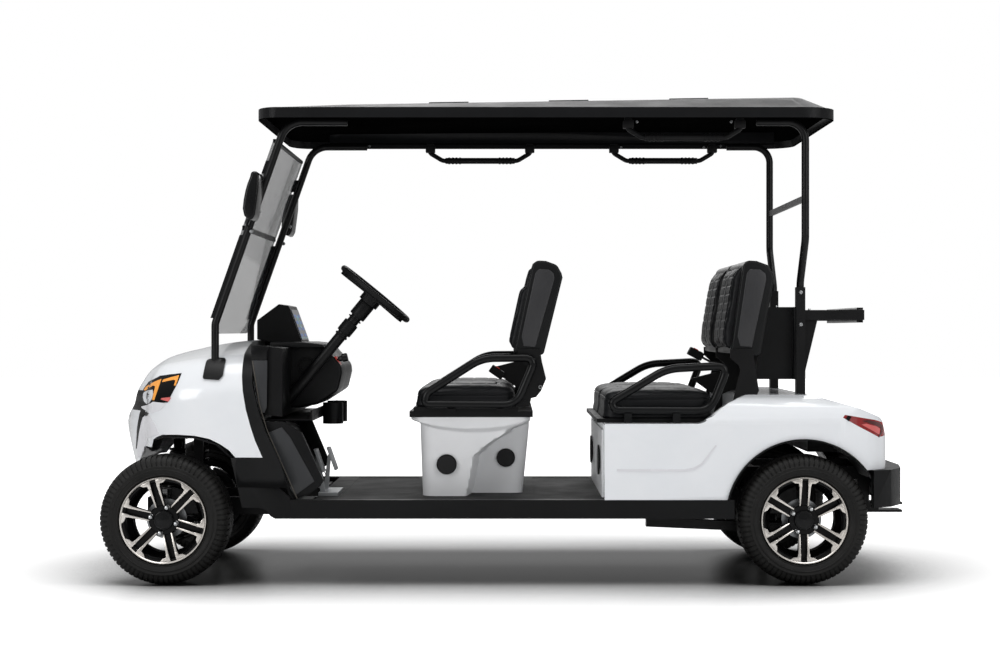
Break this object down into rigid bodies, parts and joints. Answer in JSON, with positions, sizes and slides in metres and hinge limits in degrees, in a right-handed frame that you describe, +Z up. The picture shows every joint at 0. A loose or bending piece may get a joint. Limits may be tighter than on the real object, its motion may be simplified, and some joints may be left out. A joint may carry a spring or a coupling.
{
  "type": "golf cart",
  "caption": "Open electric golf cart with front and rear seat rows facing forward, a long fixed roof, a windshield, alloy wheels, a basket and a bag rack; white with black trim.",
  "frame": {"origin": "on the ground, midway between the nose and the end of the tow hitch and midway between the mirrors", "axes": "+X towards the rear, so the cart drives towards -X; +Y towards its right side, so the driver sits on the -Y side; +Z up"},
  "size_m": [3.2357, 1.35, 1.9186],
  "materials": {
    "bare_aluminium": "bare cast aluminium",
    "black_frame_paint": "satin black powder coat on steel",
    "black_plastic": "textured black moulded plastic",
    "cast_metal": "cast steel and iron",
    "display_glass": "gloss black screen housing",
    "grey_plastic": "light grey moulded plastic",
    "lamp_lens": "smoked lamp lens",
    "machined_alloy": "black painted alloy with machined faces",
    "red_lens": "red lamp lens",
    "roof_plastic": "satin black thermoformed plastic",
    "seat_vinyl": "black vinyl over foam",
    "tinted_glass": "smoke tinted clear acrylic",
    "tyre_rubber": "black tyre rubber",
    "white_body_paint": "white gloss paint on moulded body panels"
  },
  "bodies": {
    "cart": {"arch_liners": "black_plastic", "armrests": "black_frame_paint", "bag_rack": "black_frame_paint", "bag_well": "black_plastic", "battery_pack": "black_plastic", "chassis_frame": "black_frame_paint", "coil_over_shocks": "black_frame_paint", "dash_tray_and_cup_holders": "black_plastic", "dashboard": "black_plastic", "drive_motor": "cast_metal", "floor_deck": "black_plastic", "front_control_arms": "black_frame_paint", "front_cowl": "white_body_paint", "front_posts": "black_frame_paint", "front_seat_pod": "grey_plastic", "grab_handles": "black_plastic", "headlamps": "lamp_lens", "instrument_display": "display_glass", "main_rails": "black_frame_paint", "nose_trim": "black_plastic", "pedals": "bare_aluminium", "rear_axle": "cast_metal", "rear_body": "white_body_paint", "rear_bumper": "black_plastic", "rear_posts": "black_frame_paint", "rear_seat_panel": "grey_plastic", "rear_trailing_arms": "black_frame_paint", "roof_canopy": "roof_plastic", "seat_back_brackets": "black_frame_paint", "seat_backs": "seat_vinyl", "seat_cushions": "seat_vinyl", "seat_trays": "black_plastic", "side_frames_and_sills": "black_plastic", "side_mirrors": "black_plastic", "speaker_grilles": "black_plastic", "steering_column": "black_frame_paint", "steering_rack_housing": "cast_metal", "sweater_basket": "black_plastic", "tail_lamps": "red_lens", "toe_board": "black_plastic", "tow_hitch": "black_frame_paint", "windshield_clips": "black_plastic", "windshield_panes": "tinted_glass"},
    "front_left_wheel": {"front_left_tyre": "tyre_rubber", "front_left_rim": "machined_alloy"},
    "front_right_wheel": {"front_right_tyre": "tyre_rubber", "front_right_rim": "machined_alloy"},
    "rear_left_wheel": {"rear_left_tyre": "tyre_rubber", "rear_left_rim": "machined_alloy"},
    "rear_right_wheel": {"rear_right_tyre": "tyre_rubber", "rear_right_rim": "machined_alloy"},
    "left_knuckle": {"front_left_knuckle": "cast_metal"},
    "right_knuckle": {"front_right_knuckle": "cast_metal"},
    "tie_rods": {"steering_rack_and_tie_rods": "cast_metal"},
    "steering_wheel": {"steering_wheel": "black_plastic"}
  },
  "joints": [
    {"name": "left_steer", "type": "hinge", "parent": "cart", "child": "left_knuckle", "pos_m": [-1.36, -0.425, 0.2525], "axis": [0, 0, 1], "range_deg": [-28, 28]},
    {"name": "right_steer", "type": "hinge", "parent": "cart", "child": "right_knuckle", "pos_m": [-1.36, 0.425, 0.2525], "axis": [0, 0, 1], "range_deg": [-28, 28]},
    {"name": "tie_rod_slide", "type": "slide", "parent": "cart", "child": "tie_rods", "axis": [0, 1, 0], "range_m": [-0.055, 0.055]},
    {"name": "steering_wheel_turn", "type": "hinge", "parent": "cart", "child": "steering_wheel", "pos_m": [-0.561, -0.28, 1.136], "axis": [0.6361, 0, 0.7716], "range_deg": [-340, 340]},
    {"name": "front_left_spin", "type": "hinge", "parent": "left_knuckle", "child": "front_left_wheel", "pos_m": [-1.36, -0.512, 0.2525], "axis": [0, 1, 0], "continuous": true},
    {"name": "front_right_spin", "type": "hinge", "parent": "right_knuckle", "child": "front_right_wheel", "pos_m": [-1.36, 0.512, 0.2525], "axis": [0, 1, 0], "continuous": true},
    {"name": "rear_left_spin", "type": "hinge", "parent": "cart", "child": "rear_left_wheel", "pos_m": [1.123, -0.512, 0.2525], "axis": [0, 1, 0], "continuous": true},
    {"name": "rear_right_spin", "type": "hinge", "parent": "cart", "child": "rear_right_wheel", "pos_m": [1.123, 0.512, 0.2525], "axis": [0, 1, 0], "continuous": true}
  ],
  "couplings": [
    {"joint": "right_steer", "follows": "left_steer", "ratio": 1},
    {"joint": "tie_rod_slide", "follows": "left_steer", "m_per_rad": 0.105},
    {"joint": "steering_wheel_turn", "follows": "left_steer", "ratio": 12}
  ]
}
